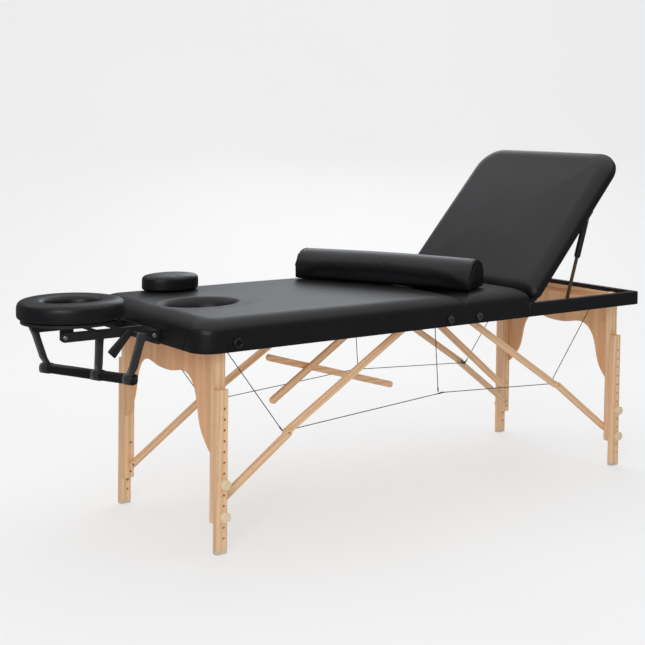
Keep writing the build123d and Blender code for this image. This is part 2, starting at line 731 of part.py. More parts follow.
with BuildPart() as cam:
    y = (-ARM_Y[1] - 10, -ARM_Y[1] - 1)
    add(bar(CAM_PIVOT, CAM_TIP, y, 12))
    cross_pin(*CAM_PIVOT, (y[1], -ARM_Y[0]), BOLT)
save(cam.part, "cam_lever")

bar_start, bar_end = SLING_ENDS
bar_run = distance(bar_start, bar_end)
bar_way = ((bar_end[0] - bar_start[0]) / bar_run, (bar_end[1] - bar_start[1]) / bar_run, 0)
bar_plane = Plane((*bar_start, SLING_BAR_Z), x_dir=(0, 0, 1), z_dir=bar_way)
with BuildPart() as arm_pad:
    with BuildSketch(bar_plane):
        RectangleRounded(SLING_SECTION[1], SLING_SECTION[0], 12)
    extrude(amount=bar_run)
    fillet(arm_pad.faces().group_by(Axis(bar_plane.origin, bar_way))[-1].edges(), 8)
    fillet(arm_pad.faces().group_by(Axis(bar_plane.origin, bar_way))[0].edges(), 8)
save(arm_pad.part, "arm_rest_pad")


def strap(x, z, y):
    """A webbing strap from its pin down to just above the bar, in one plane across y."""
    share = (y - bar_start[1]) / (bar_end[1] - bar_start[1])
    foot_x = bar_start[0] + share * (bar_end[0] - bar_start[0])
    foot = (foot_x, SLING_BAR_Z + SLING_SECTION[1] / 2 + STRAP_HALF + 1)
    piece = bar((x, z), foot, (y - 1, y + 1), STRAP_HALF)
    with BuildPart() as looped:
        add(piece)
        cross_pin(x, z, (y - 1, y + 1), ROD + 0.2, mode=Mode.SUBTRACT)
    return looped.part


save(Part(children=[strap(*place) for place in SLING_STRAPS]), "sling_straps")


def oval_pad(x, y, z, half_lengths, edge, hole=None):
    """A cushion with an oval plan, rounded all round, with an optional oval hole."""
    with BuildPart() as piece:
        with BuildSketch(Plane.XY.offset(z[0])):
            with Locations((x, y)):
                Ellipse(*half_lengths)
                if hole:
                    Ellipse(*hole, mode=Mode.SUBTRACT)
        extrude(amount=z[1] - z[0])
        fillet(piece.faces().sort_by(Axis.Z)[-1].edges(), edge)
    return piece.part


save(oval_pad(CUSHION_X, 0, CUSHION_Z, CUSHION, 22, FACE_HOLE), "face_cushion")

# ---------------------------------------------------------------- loose cushions
save(oval_pad(*PLUG_PLACE, (PAD_TOP, PAD_TOP + PLUG_HEIGHT), PLUG, 18), "breath_plug")

spin = radians(BOLSTER_TURN)
along = (sin(spin), -cos(spin))
start = [place - way * BOLSTER_LENGTH / 2 for place, way in zip(BOLSTER_PLACE, along)]
bolster_end = Plane((*start, PAD_TOP), x_dir=(cos(spin), sin(spin), 0), z_dir=(*along, 0))
with BuildPart() as bolster:
    with BuildSketch(bolster_end):
        with Locations((-BOLSTER_WIDTH / 2 + 22, 22), (BOLSTER_WIDTH / 2 - 22, 22)):
            Circle(22)
        with Locations((0, BOLSTER_HEIGHT - 62)):
            Circle(62)
        make_hull()
        with Locations((0, -BOLSTER_WIDTH / 2)):
            Rectangle(BOLSTER_WIDTH, BOLSTER_WIDTH, mode=Mode.SUBTRACT)
    extrude(amount=BOLSTER_LENGTH)
save(bolster.part, "bolster")
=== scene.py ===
"""Blender scene of a portable massage table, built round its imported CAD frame."""

from math import atan2, cos, hypot, pi, radians, sin, sqrt

import bmesh
import bpy
from mathutils import Matrix, Vector, noise
from mathutils.bvhtree import BVHTree


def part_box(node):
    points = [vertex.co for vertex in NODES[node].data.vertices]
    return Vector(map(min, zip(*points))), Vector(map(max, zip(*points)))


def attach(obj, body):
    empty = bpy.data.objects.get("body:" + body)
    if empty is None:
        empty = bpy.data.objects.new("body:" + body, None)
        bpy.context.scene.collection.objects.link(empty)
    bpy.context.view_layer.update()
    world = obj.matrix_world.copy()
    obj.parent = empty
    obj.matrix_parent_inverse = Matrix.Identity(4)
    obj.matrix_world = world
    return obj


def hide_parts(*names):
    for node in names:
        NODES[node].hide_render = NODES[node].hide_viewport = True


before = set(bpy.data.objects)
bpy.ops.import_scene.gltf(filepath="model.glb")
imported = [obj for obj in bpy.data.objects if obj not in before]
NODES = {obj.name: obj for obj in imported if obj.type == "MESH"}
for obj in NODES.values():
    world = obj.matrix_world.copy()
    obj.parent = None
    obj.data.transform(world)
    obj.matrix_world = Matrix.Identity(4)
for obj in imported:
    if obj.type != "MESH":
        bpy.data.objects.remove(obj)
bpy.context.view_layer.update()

# -------------------------------- places taken from the frame, metres
HEAD_LOW, HEAD_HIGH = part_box("head_pad")
SEAT_LOW, SEAT_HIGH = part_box("seat_pad")
RAIL_LOW, RAIL_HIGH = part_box("back_side_rails")
BAND_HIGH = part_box("back_vinyl_band")[1]
FOLD = (HEAD_HIGH.x + SEAT_LOW.x) / 2
HALF_WIDTH = HEAD_HIGH.y
PAD_TOP = HEAD_HIGH.z
DECK_TOP = HEAD_LOW.z
RAIL_FOOT = RAIL_LOW.z
FOLD_GAP = 0.0004  # each half's vinyl stops this far from the fold
HOLE_AT = Vector((FOLD - 0.817, 0, 0))  # middle of the breath hole
HOLE = (0.105, 0.080)  # its half length and half width
REST_ANGLE = radians(48)
REST_HINGE = Vector((FOLD + 0.335, 0, RAIL_HIGH.z))


# -------------------------------- materials
def new_material(name):
    """A material with one principled shader; gives the material, its node tree and the shader."""
    made = bpy.data.materials.new(name)
    made.use_nodes = True
    tree = made.node_tree
    tree.nodes.clear()
    out = tree.nodes.new("ShaderNodeOutputMaterial")
    shader = tree.nodes.new("ShaderNodeBsdfPrincipled")
    tree.links.new(shader.outputs[0], out.inputs[0])
    return made, tree, shader


def node(tree, kind, links=None, **values):
    """Add a node. Values set attributes or inputs by name; links join sockets to its inputs."""
    made = tree.nodes.new("ShaderNode" + kind)
    for key, value in values.items():
        if hasattr(made, key):
            setattr(made, key, value)
        else:
            made.inputs[key.replace("_", " ")].default_value = value
    for key, source in (links or {}).items():
        tree.links.new(source, made.inputs[key])
    return made


def ramp(tree, source, stops):
    """Colours between stops of (place, colour)."""
    made = tree.nodes.new("ShaderNodeValToRGB")
    tree.links.new(source, made.inputs[0])
    elements = made.color_ramp.elements
    while len(elements) < len(stops):
        elements.new(0.5)
    for element, (place, colour) in zip(elements, stops):
        element.position = place
        element.color = (*colour, 1)
    return made.outputs[0]


def grain_space(tree, scale, turn=(0, 0, 0)):
    """Object coordinates, turned first and then scaled along the turned axes."""
    where = node(tree, "TexCoord")
    turned = node(tree, "Mapping", {"Vector": where.outputs["Object"]}, Rotation=turn)
    scaled = node(tree, "Mapping", {"Vector": turned.outputs[0]}, Scale=scale)
    return scaled.outputs[0]


def vinyl(name, base=(0.0062, 0.0064, 0.0074), rough=0.42):
    """Soft black upholstery vinyl with a fine pebbled grain and faint creases."""
    made, tree, shader = new_material(name)
    fine = grain_space(tree, (1, 1, 1))
    pebble = node(tree, "TexVoronoi", {"Vector": fine}, Scale=620.0)
    broad = node(tree, "TexNoise", {"Vector": fine}, Scale=9.0, Detail=4.0)
    soft = node(tree, "TexNoise", {"Vector": fine}, Scale=260.0, Detail=3.0)
    shades = [[c * 0.85 for c in base], [c * 1.2 for c in base]]
    colour = ramp(tree, broad.outputs[0], [(0.3, shades[0]), (0.7, shades[1])])
    tree.links.new(colour, shader.inputs["Base Color"])
    limits = {"To_Min": rough - 0.05, "To_Max": rough + 0.07}
    roughness = node(tree, "MapRange", {"Value": soft.outputs[0]}, **limits)
    tree.links.new(roughness.outputs[0], shader.inputs["Roughness"])
    low = node(tree, "Bump", {"Height": broad.outputs[0]}, Strength=0.12, Distance=0.004)
    relief = {"Height": pebble.outputs["Distance"], "Normal": low.outputs[0]}
    grain = node(tree, "Bump", relief, Strength=0.22, Distance=0.0003)
    tree.links.new(grain.outputs[0], shader.inputs["Normal"])
    shader.inputs["Specular IOR Level"].default_value = 0.3
    return made


def wood(name, angle, light=(0.86, 0.575, 0.345), dark=(0.73, 0.445, 0.245), across=False):
    """Beech. The fibres run at an angle from +x towards +z, or along y."""
    made, tree, shader = new_material(name)
    turn = (0, 0, radians(90)) if across else (0, radians(angle), 0)
    fibre = grain_space(tree, (7, 170, 170), turn)
    growth = grain_space(tree, (1.1, 16, 16), turn)
    fleck = grain_space(tree, (38, 420, 420), turn)
    waves = {"Scale": 1.1, "Distortion": 5.5, "Detail": 3.0, "Detail_Scale": 1.6}
    bands = node(tree, "TexWave", {"Vector": growth}, **waves)
    bands.bands_direction = "Z"
    threads = node(tree, "TexNoise", {"Vector": fibre}, Scale=1.0, Detail=5.0, Roughness=0.62)
    flecks = node(tree, "TexNoise", {"Vector": fleck}, Scale=1.0, Detail=1.0)
    parts = {"A": bands.outputs["Fac"], "B": threads.outputs[0]}
    mixed = node(tree, "Mix", parts, data_type="FLOAT", Factor=0.62)
    tone = ramp(tree, mixed.outputs[0], [(0.28, dark), (0.62, light)])
    spots = ramp(tree, flecks.outputs[0], [(0.60, (1, 1, 1)), (0.72, (0.74, 0.66, 0.58))])
    both = tree.nodes.new("ShaderNodeMix")
    both.data_type = "RGBA"
    both.blend_type = "MULTIPLY"
    both.inputs[0].default_value = 0.5
    tree.links.new(tone, both.inputs[6])
    tree.links.new(spots, both.inputs[7])
    tree.links.new(both.outputs[2], shader.inputs["Base Color"])
    roughness = node(tree, "MapRange", {"Value": threads.outputs[0]}, To_Min=0.42, To_Max=0.6)
    tree.links.new(roughness.outputs[0], shader.inputs["Roughness"])
    relief = node(tree, "Bump", {"Height": threads.outputs[0]}, Strength=0.16, Distance=0.0006)
    tree.links.new(relief.outputs[0], shader.inputs["Normal"])
    shader.inputs["Coat Weight"].default_value = 0.12
    shader.inputs["Coat Roughness"].default_value = 0.3
    return made


def hard(name, base, rough, metallic=0.0, scale=300.0, variation=0.25, bump=0.1, stretch=(1, 1, 1)):
    """Metal or moulded plastic: colour and roughness vary a little, with a fine relief."""
    made, tree, shader = new_material(name)
    space = grain_space(tree, stretch)
    fine = node(tree, "TexNoise", {"Vector": space}, Scale=scale, Detail=4.0)
    broad = node(tree, "TexNoise", {"Vector": space}, Scale=scale / 14, Detail=3.0)
    shades = [[c * (1 - variation) for c in base], [min(c * (1 + variation), 1) for c in base]]
    colour = ramp(tree, broad.outputs[0], [(0.3, shades[0]), (0.7, shades[1])])
    tree.links.new(colour, shader.inputs["Base Color"])
    limits = {"To_Min": rough - 0.06, "To_Max": rough + 0.08}
    roughness = node(tree, "MapRange", {"Value": fine.outputs[0]}, **limits)
    tree.links.new(roughness.outputs[0], shader.inputs["Roughness"])
    relief = node(tree, "Bump", {"Height": fine.outputs[0]}, Strength=bump, Distance=0.0004)
    tree.links.new(relief.outputs[0], shader.inputs["Normal"])
    shader.inputs["Metallic"].default_value = metallic
    return made


def woven(name, base, scale=900.0):
    """Narrow webbing: two crossing sets of ribs."""
    made, tree, shader = new_material(name)
    space = grain_space(tree, (1, 1, 1))
    one = node(tree, "TexWave", {"Vector": space}, Scale=scale / 6.3)
    one.bands_direction = "Z"
    two = node(tree, "TexWave", {"Vector": space}, Scale=scale / 9)
    two.bands_direction = "DIAGONAL"
    cloth = node(tree, "Math", {0: one.outputs["Fac"], 1: two.outputs["Fac"]}, operation="MULTIPLY")
    shades = [[c * 0.5 for c in base], [c * 1.7 for c in base]]
    colour = ramp(tree, cloth.outputs[0], [(0.1, shades[0]), (0.8, shades[1])])
    tree.links.new(colour, shader.inputs["Base Color"])
    relief = node(tree, "Bump", {"Height": cloth.outputs[0]}, Strength=0.5, Distance=0.0006)
    tree.links.new(relief.outputs[0], shader.inputs["Normal"])
    shader.inputs["Roughness"].default_value = 0.8
    shader.inputs["Sheen Weight"].default_value = 0.2
    return made


VINYL = vinyl("vinyl_top")
LOOSE_VINYL = vinyl("vinyl_loose", (0.0068, 0.007, 0.0082), 0.38)
PIPING = vinyl("vinyl_piping", (0.004, 0.004, 0.0045), 0.45)
GLOSSY = hard("polished_black", (0.009, 0.009, 0.0095), 0.27, scale=420.0)
PLASTIC = hard("moulded_black", (0.012, 0.012, 0.013), 0.42, scale=420.0)
CAP = hard("foot_rubber", (0.62, 0.52, 0.42), 0.7, variation=0.08)
KNOB = hard("knob_cream", (0.78, 0.63, 0.42), 0.4, scale=160.0, variation=0.07)
STEEL = hard("zinc_steel", (0.52, 0.52, 0.53), 0.32, 1.0, variation=0.12)
BRONZE = hard("bronze_steel", (0.20, 0.135, 0.075), 0.42, 0.85, stretch=(1, 1, 4))
CABLE = hard("steel_cable", (0.16, 0.165, 0.175), 0.42, 0.9, scale=900.0, variation=0.4, bump=0.5)
WEBBING = woven("webbing_black", (0.016, 0.016, 0.017))
PLY = wood("apron_wood", 90, (0.82, 0.47, 0.25), (0.71, 0.38, 0.185))
DECKING = wood("deck_plywood", 0, (0.62, 0.42, 0.25), (0.47, 0.29, 0.15))
WOOD_X = wood("beech_long", 0)
WOOD_Y = wood("beech_across", 0, across=True)
WOOD_Z = wood("beech_upright", 90)


def dress(name, material, bevel=0.0):
    """Give a CAD node its material and, for wood, lightly rounded edges."""
    piece = NODES[name]
    for slot in piece.material_slots:
        slot.material = material
    if not piece.material_slots:
        piece.data.materials.append(material)
    if bevel:
        edges = piece.modifiers.new("eased_edges", "BEVEL")
        edges.width = bevel
        edges.segments = 2
        edges.limit_method = "ANGLE"
        edges.angle_limit = radians(50)
        edges.use_clamp_overlap = True
        edges.harden_normals = True


def lean(name):
    """Angle from +x towards +z of a straight bar on the near side, from its own mesh."""
    points = [v.co for v in NODES[name].data.vertices if v.co.y < 0]
    points = points or [v.co for v in NODES[name].data.vertices]
    mx = sum(p.x for p in points) / len(points)
    mz = sum(p.z for p in points) / len(points)
    xx = sum((p.x - mx) ** 2 for p in points)
    zz = sum((p.z - mz) ** 2 for p in points)
    xz = sum((p.x - mx) * (p.z - mz) for p in points)
    return atan2(2 * xz, xx - zz) / 2 * 180 / pi


EASED = 0.0013  # bevel of a sanded edge
for half in ("head", "back"):
    dress(f"{half}_side_rails", WOOD_X)
    dress(f"{half}_cross_members", WOOD_Y)
    dress(f"{half}_fold_hinges", STEEL)
    dress(f"{half}_frame_bolts", STEEL)
    dress(f"{half}_leg_posts", WOOD_Z, EASED)
    dress(f"{half}_leg_apron", PLY, EASED)
    dress(f"{half}_leg_bolts", STEEL)
    dress(f"{half}_leg_knobs", KNOB)
    for word in ("near", "far"):
        dress(f"{half}_{word}_leg_extension", WOOD_Z, EASED)
        dress(f"{half}_{word}_foot_cap", CAP)
    for link in ("lower_links", "upper_links", "centre_stay"):
        name = f"{half}_{link}"
        dress(name, wood(f"beech_{name}", lean(name)), EASED)
    dress(f"{half}_long_cables", CABLE)
    dress(f"{half}_corner_cables", CABLE)
dress("centre_tie", wood("beech_centre_tie", lean("centre_tie")), EASED)
dress("centre_droppers", CABLE)
dress("fold_hinge_pins", STEEL)
dress("seat_hinges", STEEL)
dress("backrest_hardware", STEEL)
dress("backrest_board", VINYL)
dress("head_deck", DECKING)
dress("seat_deck", DECKING)
dress("side_sockets", PLASTIC)
dress("cradle_bracket", PLASTIC, EASED)
dress("cradle_arms", PLASTIC, EASED)
dress("cradle_platform", PLASTIC, EASED)
dress("strut_bars", BRONZE)
dress("strut_sleeves", PLASTIC, EASED)


# -------------------------------- shape helpers
def mesh_object(name, points, faces, material):
    """A smooth-shaded mesh with its faces turned outwards."""
    data = bpy.data.meshes.new(name)
    data.from_pydata([tuple(p) for p in points], [], faces)
    work = bmesh.new()
    work.from_mesh(data)
    bmesh.ops.recalc_face_normals(work, faces=work.faces)
    work.to_mesh(data)
    work.free()
    data.materials.append(material)
    for face in data.polygons:
        face.use_smooth = True
    made = bpy.data.objects.new(name, data)
    bpy.context.scene.collection.objects.link(made)
    return made


def loft(name, rings, material, closed=True):
    """Join rings of equal length: closed joins last to first, otherwise both ends are capped."""
    count = len(rings[0])
    points = [p for ring in rings for p in ring]
    faces = []
    pairs = [(i, i + 1) for i in range(len(rings) - 1)]
    if closed:
        pairs.append((len(rings) - 1, 0))
    for a, b in pairs:
        for k in range(count):
            n = (k + 1) % count
            faces.append((a * count + k, a * count + n, b * count + n, b * count + k))
    if not closed:
        for ring in (0, len(rings) - 1):
            points.append(sum((Vector(p) for p in rings[ring]), Vector()) / count)
            middle = len(points) - 1
            for k in range(count):
                faces.append((ring * count + k, ring * count + (k + 1) % count, middle))
    return mesh_object(name, points, faces, material)


RECT_STEPS = (96, 66)  # points along the long and the short sides of a plan outline
CORNER_STEPS = 20


def rounded_rect(low, high, radii):
    """Counter-clockwise outline with radii at low x and high x; all have as many points."""
    (x0, y0), (x1, y1) = low, high
    r0, r1 = radii
    corners = [
        (x1 - r1, y1 - r1, r1, 0),
        (x0 + r0, y1 - r0, r0, 1),
        (x0 + r0, y0 + r0, r0, 2),
        (x1 - r1, y0 + r1, r1, 3),
    ]
    out = []
    for index, (cx, cy, r, quarter) in enumerate(corners):
        for k in range(CORNER_STEPS + 1):
            a = (quarter + k / CORNER_STEPS) * pi / 2
            out.append((cx + r * cos(a), cy + r * sin(a)))
        nx, ny, nr, nq = corners[(index + 1) % 4]
        start = out[-1]
        a = nq * pi / 2
        end = (nx + nr * cos(a), ny + nr * sin(a))
        many = RECT_STEPS[index % 2]
        for k in range(1, many):
            across, along = (end[0] - start[0]) * k / many, (end[1] - start[1]) * k / many
            out.append((start[0] + across, start[1] + along))
    return out


def mix(a, b, t):
    return a + (b - a) * t


def to_ellipse(outline, centre, half):
    """For each outline point, the ellipse point in the same direction."""
    out = []
    for x, y in outline:
        a = atan2((y - centre[1]) / half[1], (x - centre[0]) / half[0])
        out.append((centre[0] + half[0] * cos(a), centre[1] + half[1] * sin(a)))
    return out


def bump01(t):
    """0 to 1 with no slope at either end."""
    t = min(max(t, 0), 1)
    return t * t * (3 - 2 * t)


def squared(a, power):
    """Cosine, sine and reach of a superellipse of half size 1 in one direction."""
    c, s = cos(a), sin(a)
    return c, s, (abs(c) ** power + abs(s) ** power) ** (-1 / power)


SKIN = 0.0002  # the cover's underside lies this far above its board
HEM_MIDDLE, HEM_EDGE = 0.0011, 0.0008  # how far the hem hangs below the rail's foot
HEM_ROUND, SIDE_EASE = 0.0009, 0.0003
SIDE_SHARES = (0.03, 0.25, 0.5, 0.75, 1.0)
ROLL_STEPS, HOLE_STEPS, UNDER_STEPS = 14, 12, 6
FULLNESS = 0.45  # how much rounder the corners get as the edge rolls in
SPOT = (0.012, 0.012)  # the middle of a top without a hole


def upholstered(name, low, high, radii, levels, hole, roll, material, spread=38):
    """A closed skin: inner wall, hem, a side that rolls over onto the top, and any hole."""
    deck, foot, top, skirt = levels
    (x0, y0), (x1, y1) = low, high
    roll_in, roll_down = roll
    bottom = deck + SKIN

    def ring(inset, z, grow=0.0):
        rs = [max(r - inset, 0.0004) + grow for r in radii]
        pts = rounded_rect((x0 + inset, y0 + inset), (x1 - inset, y1 - inset), rs)
        return [Vector((x, y, z)) for x, y in pts]

    def between(a, b, many, z):
        return [
            [Vector((mix(p.x, q.x, k / many), mix(p.y, q.y, k / many), z)) for p, q in zip(a, b)]
            for k in range(1, many)
        ]

    def ellipse(outline, centre, half, z):
        flat = to_ellipse([(p.x, p.y) for p in outline], centre, half)
        return [Vector((x, y, z)) for x, y in flat]

    rings = [ring(skirt, bottom), ring(skirt, mix(foot, deck, 0.5)), ring(skirt, foot)]
    rings += [ring(skirt * 0.5, foot - HEM_MIDDLE), ring(HEM_ROUND, foot - HEM_EDGE)]
    side_top = top - roll_down
    for share in SIDE_SHARES:
        ease = SIDE_EASE if share == SIDE_SHARES[0] else 0.0
        rings.append(ring(ease, mix(foot, side_top, share)))
    for k in range(1, ROLL_STEPS + 1):
        a = k / ROLL_STEPS * pi / 2
        inset, grow = roll_in * (1 - cos(a)), roll_in * FULLNESS * (1 - cos(a))
        rings.append(ring(inset, side_top + roll_down * sin(a), grow))
    if not hole:
        centre = ((x0 + x1) / 2, (y0 + y1) / 2)
        crown = ellipse(rings[-1], centre, SPOT, top)
        under = ellipse(rings[0], centre, SPOT, bottom)
        rings += between(rings[-1], crown, spread, top) + [crown]
        rings = [under] + between(under, rings[0], UNDER_STEPS, bottom) + rings
        return loft(name, rings, material, closed=False)
    centre, half, hole_roll, hole_foot = hole
    big = (half[0] + hole_roll, half[1] + hole_roll)
    edge = ellipse(rings[-1], centre, big, top)
    rings += between(rings[-1], edge, spread, top) + [edge]
    for k in range(1, HOLE_STEPS + 1):
        a = k / HOLE_STEPS * pi / 2
        shrink = hole_roll * sin(a)
        z = top - (top - hole_foot) * (1 - cos(a))
        rings.append(ellipse(edge, centre, (big[0] - shrink, big[1] - shrink), z))
    rings.append(ellipse(edge, centre, half, bottom))
    rings += between(rings[-1], rings[0], UNDER_STEPS, bottom)
    return loft(name, rings, material)


def sculpt(obj, move):
    """Put every vertex where move says."""
    for vertex in obj.data.vertices:
        vertex.co = move(vertex.co.copy())
    obj.data.update()


def ripple(place, scale, size):
    """Smooth unevenness."""
    return noise.noise(place * scale) * size


# -------------------------------- the two upholstered halves
CROWN, CROWN_REACH = 0.0022, 0.22  # how much lower the edges are, and over what distance
SLACK = 0.0006
TOP_WAVES = (5.0, 0.0007)  # scale and height of the vinyl's unevenness
EVEN = 0.001  # nothing moves this close to the board
HOLE_DIP, HOLE_REACH = 0.004, 0.05  # the padding sinks towards the hole
HOLE_DIP_FROM, HOLE_DIP_OVER = 0.85, 0.55  # in hole sizes
FADE = 0.03  # every movement grows from nothing over this height above the board


def top_finish(x0, x1, hole=None):
    """Slight crown and slack, with everything kept under the pad's top."""

    def move(p):
        if p.z < DECK_TOP + EVEN:
            return p
        inside = min(HALF_WIDTH - abs(p.y), p.x - x0, x1 - p.x)
        dip = CROWN * (1 - bump01(inside / CROWN_REACH)) + ripple(p, *TOP_WAVES) + SLACK
        if hole:
            centre, half = hole
            off = [(p[i] - centre[i]) / (half[i] + HOLE_REACH) for i in (0, 1)]
            dip += HOLE_DIP * (1 - bump01((hypot(*off) - HOLE_DIP_FROM) / HOLE_DIP_OVER))
        p.z -= dip * bump01((p.z - DECK_TOP) / FADE)
        return p

    return move


GUARD_HALF, GUARD_HEIGHT, GUARD_DOME = 0.084, 0.076, 0.0030  # corner guards
GUARD_FROM = 0.063  # they cover what is further than this from the corner's axis
GUARD_ROOF = 0.045  # and all that is within this of the top
GUARD_AIM = (0.12, 0.02)  # they swell away from a point this far inwards and down
CORNER_RADIUS = 0.065


def corner_point(along, side, up_by):
    """A place on the head end's wall: along counts from the corner's middle towards the fold."""
    r = CORNER_RADIUS
    quarter = r * pi / 4
    held = min(max(along, -quarter), quarter)
    a = pi / 4 + held / r
    x = HEAD_LOW.x + r - r * cos(a) + max(along - quarter, 0)
    y = HALF_WIDTH - r + r * sin(a) - max(-along - quarter, 0)
    return Vector((x, side * y, RAIL_FOOT + up_by))


def guard_share(p):
    """0 outside a corner guard, rising to 1 at its middle."""
    r = CORNER_RADIUS
    dx, dy = HEAD_LOW.x + r - p.x, abs(p.y) - (HALF_WIDTH - r)
    if dx > 0 and dy > 0:
        along = (atan2(dy, dx) - pi / 4) * r
    elif dx <= 0:
        along = r * pi / 4 - dx
    else:
        along = -(r * pi / 4) + dy
    e = hypot(along / GUARD_HALF, (p.z - RAIL_FOOT) / GUARD_HEIGHT)
    return sqrt(max(1 - e, 0))


def head_finish(p):
    """The head half's finish, with a slightly domed guard on both end corners."""
    p = top_move(p)
    share = guard_share(p)
    inwards, down = GUARD_AIM
    side = 1 if p.y > 0 else -1
    middle = Vector((HEAD_LOW.x + inwards, (HALF_WIDTH - inwards) * side, p.z - down))
    dx, dy = HEAD_LOW.x + CORNER_RADIUS - p.x, abs(p.y) - HALF_WIDTH + CORNER_RADIUS
    outer = hypot(max(dx, 0), max(dy, 0)) > GUARD_FROM
    if share and p.z > RAIL_FOOT - 0.001 and (outer or p.z > PAD_TOP - GUARD_ROOF):
        p += (p - middle).normalized() * GUARD_DOME * share
    return p


HEAD_ENDS = (HEAD_LOW.x, FOLD - FOLD_GAP)
ROLL = (0.056, 0.046)  # how far the top's edge rolls inwards and down
SKIRT = 0.0028  # thickness of the cover on the rails
SEAM_RADIUS = 0.0035  # corners at the fold
LEVELS = (DECK_TOP, RAIL_FOOT, PAD_TOP, SKIRT)
HOLE_ROLL, HOLE_FOOT = 0.036, 0.004
head_top = upholstered(
    "head_top",
    (HEAD_ENDS[0], -HALF_WIDTH),
    (HEAD_ENDS[1], HALF_WIDTH),
    (CORNER_RADIUS, SEAM_RADIUS),
    LEVELS,
    ((HOLE_AT.x, 0), HOLE, HOLE_ROLL, DECK_TOP + HOLE_FOOT),
    ROLL,
    VINYL,
)
top_move = top_finish(*HEAD_ENDS, (HOLE_AT, HOLE))
sculpt(head_top, head_finish)
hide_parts("head_pad", "head_vinyl_band")

SEAT_ENDS = (FOLD + FOLD_GAP, SEAT_HIGH.x)
seat_top = upholstered(
    "seat_top",
    (-SEAT_ENDS[1], -HALF_WIDTH),
    (-SEAT_ENDS[0], HALF_WIDTH),
    (0.012, SEAM_RADIUS),
    LEVELS,
    None,
    ROLL,
    VINYL,
    spread=16,
)
sculpt(seat_top, lambda p: Vector((-p.x, p.y, p.z)))
sculpt(seat_top, top_finish(*SEAT_ENDS))
seat_top.data.flip_normals()
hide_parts("seat_pad")


WRAP_CORNER, WRAP_CORNER_STEPS = 0.013, 8
WRAP_SIDE_STEPS, WRAP_END_STEPS = 30, 40


def frame_wrap():
    """Vinyl over the outer face and the top of the rails behind the seat."""
    rail_top = RAIL_HIGH.z
    section = [  # distance in from the outer face, and height
        (0.0210, rail_top - 0.015),
        (0.0213, rail_top - 0.0152),
        (0.0213, rail_top - 0.0008),
        (0.0207, rail_top + 0.00034),
        (0.0120, rail_top + 0.00036),
        (0.0022, rail_top + 0.00034),
        (0.0008, rail_top - 0.0006),
        (0.0, rail_top - 0.003),
        (0.0, (rail_top + RAIL_FOOT) / 2),
        (0.0, RAIL_FOOT + 0.002),
        (0.0008, RAIL_FOOT - 0.0006),
        (0.010, RAIL_FOOT - 0.0009),
        (0.010, RAIL_FOOT - 0.0001),
        (0.0029, RAIL_FOOT - 0.0001),
        (0.0029, rail_top + 0.0001),
        (0.0209, rail_top + 0.0001),
    ]
    start_x, end_x = SEAT_HIGH.x - 0.006, BAND_HIGH.x
    turn_x, turn_y = end_x - WRAP_CORNER, HALF_WIDTH - WRAP_CORNER

    def corner(side, start):
        steps = [start + k / WRAP_CORNER_STEPS * pi / 2 for k in range(WRAP_CORNER_STEPS + 1)]
        return [
            (turn_x + WRAP_CORNER * cos(a), side * turn_y + WRAP_CORNER * sin(a), cos(a), sin(a))
            for a in steps
        ]

    along = [k / WRAP_SIDE_STEPS for k in range(WRAP_SIDE_STEPS + 1)]
    path = [(mix(start_x, turn_x, t), -HALF_WIDTH, 0, -1) for t in along[:-1]]
    path += corner(-1, -pi / 2)
    for k in range(1, WRAP_END_STEPS):
        path.append((end_x, mix(-turn_y, turn_y, k / WRAP_END_STEPS), 1, 0))
    path += corner(1, 0)
    path += [(mix(turn_x, start_x, t), HALF_WIDTH, 0, 1) for t in along[1:]]
    rings = []
    for x, y, nx, ny in path:
        wave = ripple(Vector((x, y, 0)), 26, 0.0002)
        rings.append([
            Vector((x - nx * (i + wave * (i < 0.001)), y - ny * i, z)) for i, z in section
        ])
    return loft("rear_frame_wrap", rings, VINYL, closed=False)


rear_wrap = frame_wrap()
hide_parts("back_vinyl_band")

# -------------------------------- backrest
REST_LENGTH, REST_START = 0.660, 0.006
REST_BOARD, REST_FOOT, REST_TOP, REST_SKIRT = 0.0121, 0.0012, 0.054, 0.0078
REST_RADII = (0.100, 0.030)
REST_ROLL = (0.050, 0.040)
REST_FADE_FROM = 0.0125
REST_CROWN, REST_CROWN_REACH = 0.006, 0.26
REST_WAVES = (4.0, 0.0009)
rest_place = Matrix.Translation(REST_HINGE) @ Matrix.Rotation(-REST_ANGLE, 4, "Y")
rest_pad = upholstered(
    "backrest_cushion",
    (-(REST_START + REST_LENGTH), -HALF_WIDTH),
    (-REST_START, HALF_WIDTH),
    REST_RADII,
    (REST_BOARD, REST_FOOT, REST_TOP, REST_SKIRT),
    None,
    REST_ROLL,
    VINYL,
    spread=24,
)


def rest_finish(p):
    """Crown the cushion and swing it up to its angle."""
    p = Vector((-p.x, p.y, p.z))
    if p.z > REST_FADE_FROM:
        inside = min(HALF_WIDTH - abs(p.y), p.x - REST_START, REST_START + REST_LENGTH - p.x)
        dip = REST_CROWN * (1 - bump01(inside / REST_CROWN_REACH)) + ripple(p, *REST_WAVES)
        p.z -= dip * bump01((p.z - REST_FADE_FROM) / FADE)
    return rest_place @ p


sculpt(rest_pad, rest_finish)
rest_pad.data.flip_normals()
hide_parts("backrest_pad")


# -------------------------------- loose cushions, swollen by cloth pressure
PRESSURE, FRAMES = 4.0, 20
LARGE_SWELL, SMALL_SWELL = 0.008, 0.005  # how far a large and a small cushion may swell


